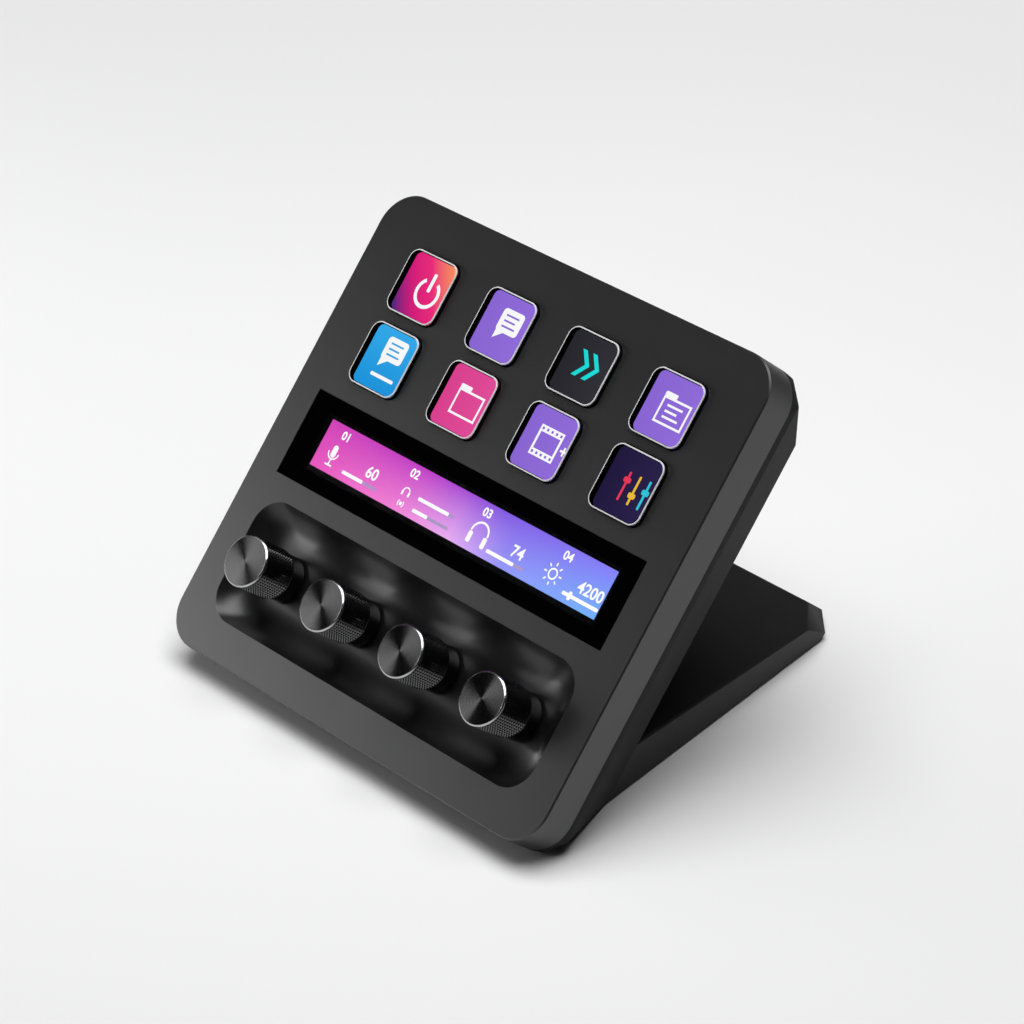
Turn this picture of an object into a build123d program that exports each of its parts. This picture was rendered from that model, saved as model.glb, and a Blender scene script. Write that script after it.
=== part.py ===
"""Desktop control pad: eight display keys, a touch strip and four push-and-turn dials.

World frame: +X right, +Y to the rear, +Z up, origin on the table under the middle of the pad.
Everything behind the face is drawn in the face's own frame (x right, y up the face, z out of
it, origin at the middle of the face) and then leaned back by TILT.  Millimetres and degrees.
"""
from build123d import *
import math
import os

# ---- stance -----------------------------------------------------------------------------
TILT = 50.3                    # face above the table
FACE_CENTRE_Y = -28.35
FACE_CENTRE_Z = 59.2
PAD_PROUD = 0.5                # how far the rubber stands below the plastic

# ---- faceplate --------------------------------------------------------------------------
FACE_WIDTH = 140.0
FACE_HEIGHT = 132.5
FACE_CORNER = 10.5
FACE_WALL = 1.7
FRAME_DEPTH = 10.4             # side wall of the faceplate, face to seam
SIDE_WALL = 2.2
EDGE_BREAK = 0.4

# ---- rear cover -------------------------------------------------------------------------
COVER_RIM = 1.7                # straight part of the cover behind the seam
COVER_BACK = 33.5              # rear wall behind the face
COVER_BACK_HALF = 59.2         # half width of the flat rear wall
COVER_BACK_TOP = 55.6          # top edge of the flat rear wall, up from the face's middle
COVER_CORNER_CLIP = 5.8        # straight corner cut, just outside the face's round corner
COVER_TOP_CHAMFER = 3.4
COVER_LOW_CHAMFER = 0.6
COVER_WALL = 2.4
RIM_BLEND = 1.4
LIP_HEIGHT = 1.8
LIP_WALL = 1.4
LIP_GAP = 0.1

# ---- keys -------------------------------------------------------------------------------
KEY_COLUMNS = 4
KEY_ROWS = 2
KEY_PITCH_X = 29.83
KEY_PITCH_Y = 21.14
KEY_GRID_Y = 34.34             # middle of the key grid above the face's middle
KEY_SIZE = 17.67
KEY_CORNER = 3.0
KEY_TOP = 1.36
KEY_GAP = 0.3
KEY_PLATE = 0.5
KEY_BLOCK_DEPTH = 2.3
KEY_FIT = 0.02
KEY_SKIRT_WALL = 0.68
KEY_CLIP = 1.9                 # straight-cut corners of the skirt and the block inside it
KEY_FLANGE = 19.4
KEY_FLANGE_TOP = 2.0
KEY_FLANGE_BOTTOM = 2.6

# ---- parts behind the keys --------------------------------------------------------------
GUIDE_TOP = 1.75
GUIDE_BOTTOM = 3.7
GUIDE_MARGIN = 3.4
MEMBRANE_TOP = 3.72
MEMBRANE_BOTTOM = 3.92
MEMBRANE_WINDOW = 16.4
DISPLAY_TOP = 3.95
DISPLAY_BOTTOM = 6.35
DISPLAY_BORDER = 3.5
TILE_SIZE = 15.5
TILE_TOP = 3.42
BRACKET_TOP = 6.4
BRACKET_SHEET = 0.6
BRACKET_HALF = 58.3
BRACKET_LOW_Y = -13.2
BRACKET_HIGH_Y = 57.2
BRACKET_FLANGE = 12.0
BRACKET_REST_X = 36.0          # raised rests that carry the strip display
BRACKET_REST_WIDTH = 17.0
BRACKET_REST_HEIGHT = 8.5

# ---- touch strip ------------------------------------------------------------------------
STRIP_WIDTH = 121.3
STRIP_HEIGHT = 24.3
STRIP_Y = -2.8
STRIP_GLASS = 1.2
GLASS_EDGE = 0.15
STRIP_GAP = 0.12
STRIP_LEDGE = 2.2
STRIP_SCREEN_WIDTH = 110.0
STRIP_SCREEN_HEIGHT = 17.0
STRIP_SCREEN_TOP = 2.3
STRIP_SCREEN_BOTTOM = 4.6

# ---- dial valley ------------------------------------------------------------------------
VALLEY_WIDTH = 119.8
VALLEY_HEIGHT = 34.8
VALLEY_CORNER = 8.4
VALLEY_FLOOR_CORNER = 5.6
VALLEY_Y = -38.4
VALLEY_DEPTH = 5.6
VALLEY_WALL = 1.6
VALLEY_RUN = 10.0              # width of the curved wall, seen from the front
VALLEY_STEPS = 8

# ---- dials ------------------------------------------------------------------------------
DIAL_COUNT = 4
DIAL_PITCH = 29.83
DIAL_Y = -38.6
DIAL_RADIUS = 7.03
DIAL_TOP = 12.0
DIAL_CAP = 0.8
DIAL_CAP_BEVEL = 0.45
KNURL_BOTTOM = 0.3
KNURL_FLUTES = 30
KNURL_DEPTH = 0.28
DIAL_SKIRT_RADIUS = 6.4
DIAL_SKIRT_BOTTOM = -4.7
SHAFT_RADIUS = 2.2
SHAFT_FIT = 0.03
SHAFT_TOP = 7.5
SHAFT_BOTTOM = -12.3
PLUNGER_HEIGHT = 0.7
RUNNING_GAP = 0.05

# ---- encoders and boards ----------------------------------------------------------------
ENCODER_SIZE = 12.4
ENCODER_TOP = 7.25
ENCODER_BOTTOM = 14.1
ENCODER_POCKET = 13.6
BUSHING_RADIUS = 3.6
BUSHING_TOP = 5.9
BUSHING_FIT = 0.1
BOARD_THICKNESS = 1.6
BOARD_HALF = 64.5
BOARD_LOW_Y = -53.6
BOARD_HIGH_Y = 44.0
BOSS_X = 62.0
BOSS_LOW_Y = -50.0
BOSS_HIGH_Y = 40.0
BOSS_HALF = 2.3
SCREW_RADIUS = 1.2
SCREW_HEAD_RADIUS = 2.3
SCREW_HEAD_HEIGHT = 1.4
SCREW_LENGTH = 6.0
SCREW_FIT = 0.05
CHIP_HEIGHT = 1.3
PROCESSOR_SIZE = 14.0
CHIP_LENGTH = 9.0
CHIP_WIDTH = 5.0
SOCKET_LENGTH = 18.0
SOCKET_WIDTH = 4.0

# ---- USB-C socket -----------------------------------------------------------------------
USB_Y = 10.0
USB_WIDTH = 8.94
USB_HEIGHT = 3.26
USB_SHELL = 0.3
USB_LENGTH = 7.35
USB_INSET = 0.9
USB_CLEARANCE = 0.4
USB_TONGUE_WIDTH = 6.6
USB_TONGUE_HEIGHT = 0.7
USB_RECESS_WIDTH = 13.0
USB_RECESS_HEIGHT = 7.0
USB_RECESS_DEPTH = 0.8
USB_BOARD_WIDTH = 26.0
USB_BOARD_HEIGHT = 14.0
USB_BOARD_THICKNESS = 1.2
USB_BOSS_X = 9.5
USB_BOSS_RADIUS = 2.4

# ---- foot -------------------------------------------------------------------------------
FOOT_HEEL_HEIGHT = 13.1        # above the foot's underside, where it meets the rear wall
FOOT_FRONT_HALF = 59.2
FOOT_REAR_HALF = 42.75
FOOT_TOE_HALF = 34.9
FOOT_SIDE_RUN = 95.4           # heel to where the corner cut starts, along the table
FOOT_LENGTH = 101.8            # heel to toe along the table, at the underside
FOOT_TOP_SLOPE = 3.87          # top surface falls to the rear
FOOT_TOE_FACE_Y = 19.85        # toe bevel, square to the face plane
FOOT_CORNER_TURN = 56.8        # corner facet's normal, from +X towards the face's up direction
FOOT_WALL = 2.4
FOOT_EDGE_BREAK = 0.45
FOOT_BLANK = 24.0
FOOT_RIB = 1.4
FOOT_RIB_X = 15.0
FOOT_RIB_LENGTH = 84.0
BASE_PLATE_BOTTOM = 0.9
BASE_PLATE_TOP = 2.4
BASE_PLATE_GAP = 0.15
BASE_PAD_MARGIN = 4.0
PAD_CORNER = 3.0
FOOT_SCREW_Y = -36.4
FOOT_SCREW_X = 36.0
FOOT_BOSS_RADIUS = 2.5
FOOT_BOSS_LENGTH = 5.0

# ---- rubber strip under the housing -----------------------------------------------------
FRONT_PAD_WIDTH = 96.0
FRONT_PAD_DEPTH = 13.0
FRONT_PAD_Y = -49.0
FRONT_PAD_SEAT = 0.7

SMALL_ROUND_SIDES = 12
EXTRA = 1.0                    # how far a cutting tool runs past what it cuts
FAR = 200.0

# ---- derived ----------------------------------------------------------------------------
LEAN = math.radians(TILT)
UP_FACE = Vector(0, math.cos(LEAN), math.sin(LEAN))
OUT_OF_FACE = Vector(0, -math.sin(LEAN), math.cos(LEAN))
FACE = Plane(origin=(0, FACE_CENTRE_Y, FACE_CENTRE_Z), x_dir=(1, 0, 0), z_dir=OUT_OF_FACE)
FOOT_SLOPE = math.radians(FOOT_TOP_SLOPE)
RIM_BACK = FRAME_DEPTH + COVER_RIM
# the cover's underside runs level with the table, so its rear edge follows from the lean
COVER_BACK_LOW = (PAD_PROUD - FACE_CENTRE_Z + COVER_BACK * math.cos(LEAN)) / math.sin(LEAN)
HEEL_Y = FACE_CENTRE_Y + COVER_BACK_LOW * math.cos(LEAN) + COVER_BACK * math.sin(LEAN)
BOARD_TOP = ENCODER_BOTTOM
BOARD_BOTTOM = ENCODER_BOTTOM + BOARD_THICKNESS
USB_BOARD_LEVEL = USB_INSET + USB_LENGTH - COVER_BACK
DISPLAY_WIDTH = (KEY_COLUMNS - 1) * KEY_PITCH_X + TILE_SIZE + 2 * DISPLAY_BORDER
DISPLAY_HEIGHT = (KEY_ROWS - 1) * KEY_PITCH_Y + TILE_SIZE + 2 * DISPLAY_BORDER


def leaned(shape):
    """Move a shape drawn in the face's frame to its place in the world."""
    return shape.moved(FACE.location)


def slab(outline, low, high):
    """Extrude a flat outline between two heights over its own plane."""
    return extrude(Pos(0, 0, low) * outline, amount=high - low)


def key_places():
    """Centres of the keys, left to right, upper row first."""
    places = []
    for row in range(KEY_ROWS):
        for column in range(KEY_COLUMNS):
            across = (column - (KEY_COLUMNS - 1) / 2) * KEY_PITCH_X
            up = KEY_GRID_Y + ((KEY_ROWS - 1) / 2 - row) * KEY_PITCH_Y
            places.append((across, up))
    return places


def dial_places():
    """Centres of the dials, left to right."""
    first = -(DIAL_COUNT - 1) / 2 * DIAL_PITCH
    return [(first + index * DIAL_PITCH, DIAL_Y) for index in range(DIAL_COUNT)]


def board_screw_places():
    """Centres of the screws that hold the main board to the faceplate's bosses."""
    return [(side * BOSS_X, up) for side in (-1, 1) for up in (BOSS_LOW_Y, BOSS_HIGH_Y)]


def rounded_square(size, corner):
    return RectangleRounded(size, size, corner)


def small_round(radius):
    """Small hidden hole, shank or bushing, drawn with flats."""
    return RegularPolygon(radius, SMALL_ROUND_SIDES)


def stadium(width, height):
    """Flat oval with full round ends."""
    return SlotOverall(width, height)


# ---- faceplate --------------------------------------------------------------------------
def valley_hollow():
    """The dished valley: walls that curve as an arc from the rim down to a level floor."""
    radius = (VALLEY_RUN**2 + VALLEY_DEPTH**2) / (2 * VALLEY_DEPTH)
    rim_angle = math.asin(VALLEY_RUN / radius)
    rings = []
    for step in range(VALLEY_STEPS + 1):
        share = step / VALLEY_STEPS
        angle = rim_angle * (1 - share)
        inset = VALLEY_RUN - radius * math.sin(angle)
        depth = VALLEY_DEPTH - radius * (1 - math.cos(angle))
        corner = VALLEY_CORNER + (VALLEY_FLOOR_CORNER - VALLEY_CORNER) * share
        ring = RectangleRounded(VALLEY_WIDTH - 2 * inset, VALLEY_HEIGHT - 2 * inset, corner)
        rings.append((Pos(0, VALLEY_Y, -depth) * ring).face())
    return loft(rings, ruled=True)


def valley_block():
    """The plain tub that carries the valley behind the face, its sides along the rim's slope."""
    slope_run = VALLEY_DEPTH**2 / VALLEY_RUN
    rings = []
    for level, inset in ((FACE_WALL / 2, 0), (VALLEY_DEPTH + VALLEY_WALL, slope_run)):
        grow = 2 * (VALLEY_WALL - inset)
        outline = Rectangle(VALLEY_WIDTH + grow, VALLEY_HEIGHT + grow)
        clipped = chamfer(outline.vertices(), VALLEY_FLOOR_CORNER / 2)
        rings.append((Pos(0, VALLEY_Y, -level) * clipped).face())
    return loft(rings, ruled=True)


def make_faceplate():
    outline = RectangleRounded(FACE_WIDTH, FACE_HEIGHT, FACE_CORNER)
    inside = RectangleRounded(
        FACE_WIDTH - 2 * SIDE_WALL, FACE_HEIGHT - 2 * SIDE_WALL, FACE_CORNER - SIDE_WALL
    )
    plate = slab(outline, -FRAME_DEPTH, 0)
    plate = chamfer(plate.faces().sort_by(Axis.Z)[-1].edges(), EDGE_BREAK)
    plate -= slab(inside, -FRAME_DEPTH - EXTRA, -FACE_WALL)
    key_window = rounded_square(KEY_SIZE + 2 * KEY_GAP, KEY_CORNER + KEY_GAP)
    for across, up in key_places():
        plate -= slab(Pos(across, up) * key_window, -FACE_WALL - EXTRA, EXTRA)
    glass_seat = Rectangle(STRIP_WIDTH + 2 * STRIP_GAP, STRIP_HEIGHT + 2 * STRIP_GAP)
    screen_window = Rectangle(STRIP_WIDTH - 2 * STRIP_LEDGE, STRIP_HEIGHT - 2 * STRIP_LEDGE)
    plate -= slab(Pos(0, STRIP_Y) * glass_seat, -STRIP_GLASS, EXTRA)
    plate -= slab(Pos(0, STRIP_Y) * screen_window, -FACE_WALL - EXTRA, EXTRA)
    plate += valley_block()
    plate -= valley_hollow()
    for across, up in dial_places():
        plate -= slab(Pos(across, up) * small_round(BUSHING_RADIUS + BUSHING_FIT), -FRAME_DEPTH, 0)
    boss = Rectangle(2 * BOSS_HALF, 2 * BOSS_HALF) - small_round(SCREW_RADIUS)
    for across, up in board_screw_places():
        plate += slab(Pos(across, up) * boss, -BOARD_TOP, -FACE_WALL)
    return plate


# ---- rear cover -------------------------------------------------------------------------
def clipped_outline(wall, clip):
    """The face's outline shrunk by a wall thickness, its round corners cut straight."""
    outline = Rectangle(FACE_WIDTH - 2 * wall, FACE_HEIGHT - 2 * wall)
    return chamfer(outline.vertices(), clip)


def cover_sides():
    """Each sloping side as (direction, distance from the axis at the rim, and at the rear wall)."""
    half_height = FACE_HEIGHT / 2
    corner = (FACE_WIDTH / 2 + half_height - COVER_CORNER_CLIP) / math.sqrt(2)
    top_corner = (COVER_BACK_HALF + COVER_BACK_TOP - COVER_TOP_CHAMFER) / math.sqrt(2)
    low_corner = (COVER_BACK_HALF - COVER_BACK_LOW - COVER_LOW_CHAMFER) / math.sqrt(2)
    sides = [((0, 1), half_height, COVER_BACK_TOP), ((0, -1), half_height, -COVER_BACK_LOW)]
    for side in (-1, 1):
        sides.append(((side, 0), FACE_WIDTH / 2, COVER_BACK_HALF))
        sides.append(((side, 1), corner, top_corner))
        sides.append(((side, -1), corner, low_corner))
    return sides


def tapered_block(rim, wall):
    """Straight rim at the seam, a narrow blend, then flat sides that close in on the rear wall."""
    block = slab(rim, wall - COVER_BACK, -FRAME_DEPTH)
    for (across, up), near, far in cover_sides():
        outwards = Vector(across, up, 0).normalized()
        slope = (outwards * (COVER_BACK - RIM_BACK) - Vector(0, 0, near - far)).normalized()
        turn = outwards * (near - wall) - Vector(0, 0, RIM_BACK)
        block = cut_above(block, turn, slope)
        block = cut_above(block, turn + Vector(0, 0, RIM_BLEND), outwards + slope)
    return block


def make_rear_cover():
    """Tapered shell with a lip that centres it in the faceplate, and a mouth for the socket."""
    outer = tapered_block(RectangleRounded(FACE_WIDTH, FACE_HEIGHT, FACE_CORNER), 0)
    inner_clip = FACE_CORNER - COVER_WALL / 2
    cover = outer - tapered_block(clipped_outline(COVER_WALL, inner_clip), COVER_WALL)
    lip_place = SIDE_WALL + LIP_GAP
    lip = clipped_outline(lip_place, inner_clip) - clipped_outline(lip_place + LIP_WALL, inner_clip)
    cover += slab(lip, -FRAME_DEPTH - EXTRA, LIP_HEIGHT - FRAME_DEPTH)
    inner_back = COVER_WALL - COVER_BACK
    post = Rectangle(2 * USB_BOSS_RADIUS, 2 * USB_BOSS_RADIUS)
    for across in (-USB_BOSS_X, USB_BOSS_X):
        cover += slab(Pos(across, USB_Y) * post, inner_back, USB_BOARD_LEVEL)
    recess = stadium(USB_RECESS_WIDTH, USB_RECESS_HEIGHT)
    cover -= slab(Pos(0, USB_Y) * recess, -COVER_BACK - EXTRA, USB_RECESS_DEPTH - COVER_BACK)
    mouth = stadium(USB_WIDTH + USB_CLEARANCE, USB_HEIGHT + USB_CLEARANCE)
    cover -= slab(Pos(0, USB_Y) * mouth, -COVER_BACK - EXTRA, inner_back + EXTRA)
    for across in foot_screw_places():
        hole = Pos(across, FOOT_SCREW_Y) * small_round(SCREW_RADIUS)
        cover -= slab(hole, -COVER_BACK - EXTRA, inner_back + EXTRA)
    return leaned(cover) - slab(front_pad_outline(), -EXTRA, PAD_PROUD + FRONT_PAD_SEAT)


def front_pad_outline():
    return Pos(0, FRONT_PAD_Y) * RectangleRounded(FRONT_PAD_WIDTH, FRONT_PAD_DEPTH, PAD_CORNER)


def make_front_pad():
    return slab(front_pad_outline(), 0, PAD_PROUD + FRONT_PAD_SEAT)


# ---- foot -------------------------------------------------------------------------------
def foot_screw_places():
    """Distances across of the screws that hold the foot to the rear wall."""
    return (-FOOT_SCREW_X, FOOT_SCREW_X)


def foot_plan(margin):
    """Footprint at the underside: sides that taper to the rear, corners cut at the toe."""
    outline = Polygon(
        (-FOOT_FRONT_HALF, HEEL_Y),
        (FOOT_FRONT_HALF, HEEL_Y),
        (FOOT_REAR_HALF, HEEL_Y + FOOT_SIDE_RUN),
        (FOOT_TOE_HALF, HEEL_Y + FOOT_LENGTH),
        (-FOOT_TOE_HALF, HEEL_Y + FOOT_LENGTH),
        (-FOOT_REAR_HALF, HEEL_Y + FOOT_SIDE_RUN),
        align=None,
    )
    if margin:
        outline = offset(outline, -margin, kind=Kind.INTERSECTION)
    return outline


def leaning_prism(outline, low, high):
    """Raise a footprint from one height to another along the lean of the face."""
    start = UP_FACE * ((low - PAD_PROUD) / math.sin(LEAN))
    path = (high - low) / math.sin(LEAN)
    return extrude(Pos(0, start.Y, PAD_PROUD + start.Z) * outline, amount=path, dir=UP_FACE)


def cut_above(block, point, normal):
    return split(block, Plane(origin=point, z_dir=normal), keep=Keep.BOTTOM)


def foot_form(wall):
    """The foot's outside, or with a wall thickness the hollow inside it."""
    floor = PAD_PROUD - (EXTRA if wall else 0)
    block = leaning_prism(foot_plan(wall), floor, FOOT_BLANK)
    heel_top = Vector(0, HEEL_Y, PAD_PROUD) + UP_FACE * (FOOT_HEEL_HEIGHT / math.sin(LEAN))
    top_normal = Vector(0, math.sin(FOOT_SLOPE), math.cos(FOOT_SLOPE))
    block = cut_above(block, heel_top - top_normal * wall, top_normal)
    toe = FACE.origin + UP_FACE * FOOT_TOE_FACE_Y
    block = cut_above(block, toe - UP_FACE * wall, UP_FACE)
    for side in (-1, 1):
        turn = math.radians(FOOT_CORNER_TURN)
        normal = Vector(side * math.cos(turn), 0, 0) + UP_FACE * math.sin(turn)
        corner = toe + Vector(side * FOOT_TOE_HALF, 0, 0)
        block = cut_above(block, corner - normal * wall, normal)
    return block


def make_foot():
    """Open-bottomed wedge with lengthwise ribs, and a boss for each screw from the housing."""
    outer = foot_form(0)
    top = outer.faces().sort_by(lambda face: face.normal_at().Z)[-1]
    heel_edge = top.edges().sort_by(Axis.Y)[0]
    side_edges = [edge for edge in top.edges() if edge != heel_edge]
    foot = chamfer(side_edges, FOOT_EDGE_BREAK) - foot_form(FOOT_WALL)
    liner = foot_form(FOOT_WALL / 2)
    boss_end = -COVER_BACK - FOOT_WALL - FOOT_BOSS_LENGTH
    for across in foot_screw_places():
        place = Pos(across, FOOT_SCREW_Y)
        boss = Rectangle(2 * FOOT_BOSS_RADIUS, 2 * FOOT_BOSS_RADIUS)
        foot += leaned(slab(place * boss, boss_end, -COVER_BACK - EXTRA))
        hole = place * small_round(SCREW_RADIUS)
        foot -= leaned(slab(hole, boss_end + EXTRA, -COVER_BACK + EXTRA))
    for across in (-FOOT_RIB_X, FOOT_RIB_X):
        rib = Pos(across, HEEL_Y + FOOT_LENGTH / 2) * Rectangle(FOOT_RIB, FOOT_RIB_LENGTH)
        foot += slab(rib, BASE_PLATE_TOP, FOOT_BLANK) & liner
    return foot


def make_base_plate():
    """Lid that closes the foot from below, pressed in between its walls."""
    layer = slab(Rectangle(FAR, FAR), BASE_PLATE_BOTTOM, BASE_PLATE_TOP)
    return foot_form(FOOT_WALL + BASE_PLATE_GAP) & layer


def make_base_pad():
    outline = fillet(foot_plan(BASE_PAD_MARGIN).vertices(), PAD_CORNER)
    return slab(outline, 0, BASE_PLATE_BOTTOM)


# ---- screws -----------------------------------------------------------------------------
def make_screw():
    """Hexagon head above z = 0, shank below it."""
    shank = slab(small_round(SCREW_RADIUS - SCREW_FIT), -SCREW_LENGTH, 0)
    return shank + slab(RegularPolygon(SCREW_HEAD_RADIUS, 6), 0, SCREW_HEAD_HEIGHT)


def make_board_screws():
    screw = Rot(180, 0, 0) * make_screw()
    return Compound([Pos(across, up, -BOARD_BOTTOM) * screw for across, up in board_screw_places()])


def make_foot_screws():
    screw = make_screw()
    level = COVER_WALL - COVER_BACK
    return Compound([Pos(across, FOOT_SCREW_Y, level) * screw for across in foot_screw_places()])


# ---- display stack ----------------------------------------------------------------------
def key_grid_outline(margin):
    """Rectangle round all the keys, margin outside the outer flanges."""
    width = (KEY_COLUMNS - 1) * KEY_PITCH_X + KEY_FLANGE + 2 * margin
    height = (KEY_ROWS - 1) * KEY_PITCH_Y + KEY_FLANGE + 2 * margin
    return Pos(0, KEY_GRID_Y) * Rectangle(width, height)


def key_openings(size):
    """The square windows of one size, one under each key."""
    return [Pos(across, up) * Rectangle(size, size) for across, up in key_places()]


def make_key_guide():
    outline = key_grid_outline(GUIDE_MARGIN) - key_openings(KEY_FLANGE + 2 * KEY_GAP)
    return slab(outline, -GUIDE_BOTTOM, -GUIDE_TOP)


def make_key_membrane():
    outline = key_grid_outline(GUIDE_MARGIN - KEY_GAP) - key_openings(MEMBRANE_WINDOW)
    return slab(outline, -MEMBRANE_BOTTOM, -MEMBRANE_TOP)


def make_key_display():
    """One panel, with the picture area raised towards each key."""
    outline = Pos(0, KEY_GRID_Y) * Rectangle(DISPLAY_WIDTH, DISPLAY_HEIGHT)
    panel = slab(outline, -DISPLAY_BOTTOM, -DISPLAY_TOP)
    for across, up in key_places():
        tile = Pos(across, up) * clipped_square(TILE_SIZE, KEY_CLIP)
        panel += slab(tile, -DISPLAY_TOP, -TILE_TOP)
    return panel


def make_strip_glass():
    glass = slab(Rectangle(STRIP_WIDTH, STRIP_HEIGHT), -STRIP_GLASS, 0)
    return Pos(0, STRIP_Y) * chamfer(glass.faces().sort_by(Axis.Z)[-1].edges(), GLASS_EDGE)


def make_strip_display():
    outline = Rectangle(STRIP_SCREEN_WIDTH, STRIP_SCREEN_HEIGHT)
    return slab(Pos(0, STRIP_Y) * outline, -STRIP_SCREEN_BOTTOM, -STRIP_SCREEN_TOP)


def make_display_bracket():
    middle = (BRACKET_LOW_Y + BRACKET_HIGH_Y) / 2
    height = BRACKET_HIGH_Y - BRACKET_LOW_Y
    back = BRACKET_TOP + BRACKET_SHEET
    sheet = Pos(0, middle) * Rectangle(2 * BRACKET_HALF, height)
    bracket = slab(sheet, -back, -BRACKET_TOP)
    for across in (-BRACKET_REST_X, 0, BRACKET_REST_X):
        rest = Pos(across, STRIP_Y) * Rectangle(BRACKET_REST_WIDTH, BRACKET_REST_HEIGHT)
        hollow = offset(rest, -BRACKET_SHEET)
        bracket += slab(rest, -back, -STRIP_SCREEN_BOTTOM)
        bracket -= slab(hollow, -back - EXTRA, -STRIP_SCREEN_BOTTOM - BRACKET_SHEET)
    for across in (-BRACKET_HALF + BRACKET_SHEET / 2, BRACKET_HALF - BRACKET_SHEET / 2):
        flange = Pos(across, KEY_GRID_Y) * Rectangle(BRACKET_SHEET, BRACKET_FLANGE)
        bracket += slab(flange, -BOARD_TOP, -BRACKET_TOP)
    return bracket


# ---- main board and encoders ------------------------------------------------------------
def make_main_board():
    middle = (BOARD_LOW_Y + BOARD_HIGH_Y) / 2
    outline = Rectangle(2 * BOARD_HALF, BOARD_HIGH_Y - BOARD_LOW_Y)
    board = slab(Pos(0, middle) * outline, -BOARD_BOTTOM, -BOARD_TOP)
    for across, up in board_screw_places():
        board -= slab(Pos(across, up) * small_round(SCREW_RADIUS), -FAR, 0)
    rear = -BOARD_BOTTOM - CHIP_HEIGHT
    processor = Pos(0, STRIP_Y) * Rectangle(PROCESSOR_SIZE, PROCESSOR_SIZE)
    board += slab(processor, rear, -BOARD_BOTTOM)
    for side in (-1, 1):
        chip = Pos(side * 2 * PROCESSOR_SIZE, STRIP_Y) * Rectangle(CHIP_LENGTH, CHIP_WIDTH)
        socket = Pos(side * SOCKET_LENGTH, KEY_GRID_Y) * Rectangle(SOCKET_LENGTH, SOCKET_WIDTH)
        board += slab(chip, rear, -BOARD_BOTTOM)
        board += slab(socket, rear, -BOARD_BOTTOM)
    return board


def make_encoder_body():
    """Square body with a round bushing, bored for the shaft and the plunger under it."""
    body = slab(Rectangle(ENCODER_SIZE, ENCODER_SIZE), -ENCODER_BOTTOM, -ENCODER_TOP)
    body += slab(small_round(BUSHING_RADIUS), -ENCODER_TOP, -BUSHING_TOP)
    return body - slab(Circle(SHAFT_RADIUS + RUNNING_GAP), -ENCODER_POCKET, 0)


# ---- USB-C socket -----------------------------------------------------------------------
def make_usb_port():
    mouth = USB_BOARD_LEVEL - USB_LENGTH
    shell = slab(stadium(USB_WIDTH, USB_HEIGHT), mouth, USB_BOARD_LEVEL)
    hollow = stadium(USB_WIDTH - 2 * USB_SHELL, USB_HEIGHT - 2 * USB_SHELL)
    shell -= slab(hollow, mouth - EXTRA, USB_BOARD_LEVEL - EXTRA)
    tongue = Rectangle(USB_TONGUE_WIDTH, USB_TONGUE_HEIGHT)
    shell += slab(tongue, mouth + EXTRA, USB_BOARD_LEVEL - EXTRA)
    return Pos(0, USB_Y) * shell


def make_usb_board():
    outline = Rectangle(USB_BOARD_WIDTH, USB_BOARD_HEIGHT)
    board = slab(outline, USB_BOARD_LEVEL, USB_BOARD_LEVEL + USB_BOARD_THICKNESS)
    return Pos(0, USB_Y) * board


# ---- keys -------------------------------------------------------------------------------
def clipped_square(size, clip):
    square = Rectangle(size, size)
    return chamfer(square.vertices(), clip)


def make_keycap():
    """Clear plate with round corners, on a block that fills the skirt."""
    plate = slab(rounded_square(KEY_SIZE, KEY_CORNER), KEY_TOP - KEY_PLATE, KEY_TOP)
    block = clipped_square(KEY_SIZE - 2 * KEY_SKIRT_WALL, KEY_CLIP)
    return plate + slab(block, -KEY_BLOCK_DEPTH, KEY_TOP - KEY_PLATE)


def make_key_skirt():
    """Black frame round the block, with the flange that holds the key behind the faceplate."""
    inner = clipped_square(KEY_SIZE - 2 * KEY_SKIRT_WALL + 2 * KEY_FIT, KEY_CLIP)
    wall = clipped_square(KEY_SIZE - 2 * KEY_FIT, KEY_CLIP) - inner
    flange = clipped_square(KEY_FLANGE, KEY_CLIP) - inner
    skirt = slab(wall, -KEY_FLANGE_BOTTOM, KEY_TOP - KEY_PLATE)
    return skirt + slab(flange, -KEY_FLANGE_BOTTOM, -KEY_FLANGE_TOP)


# ---- dials ------------------------------------------------------------------------------
def knurled_outline():
    """Outline of the grip: V grooves evenly round the rim."""
    points = []
    for step in range(2 * KNURL_FLUTES):
        radius = DIAL_RADIUS - KNURL_DEPTH * (step % 2)
        angle = math.pi * step / KNURL_FLUTES
        points.append((radius * math.cos(angle), radius * math.sin(angle)))
    return Polygon(*points, align=None)


def make_dial_sleeve():
    """Knurled grip over a plain skirt, with a blind bore for the shaft."""
    sleeve = slab(knurled_outline(), KNURL_BOTTOM, DIAL_TOP - DIAL_CAP)
    sleeve += slab(Circle(DIAL_SKIRT_RADIUS), DIAL_SKIRT_BOTTOM, KNURL_BOTTOM)
    return sleeve - slab(Circle(SHAFT_RADIUS + SHAFT_FIT), DIAL_SKIRT_BOTTOM - EXTRA, SHAFT_TOP)


def make_dial_cap():
    disc = slab(Circle(DIAL_RADIUS), DIAL_TOP - DIAL_CAP, DIAL_TOP)
    return chamfer(disc.faces().sort_by(Axis.Z)[-1].edges(), DIAL_CAP_BEVEL)


def make_dial_shaft():
    return slab(Circle(SHAFT_RADIUS), SHAFT_BOTTOM, SHAFT_TOP)


def make_push_plunger():
    """The switch plunger under the shaft, a small hexagon inside the encoder's bore."""
    hexagon = RegularPolygon(SHAFT_RADIUS, 6)
    return slab(hexagon, SHAFT_BOTTOM - PLUNGER_HEIGHT, SHAFT_BOTTOM - RUNNING_GAP)


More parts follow.
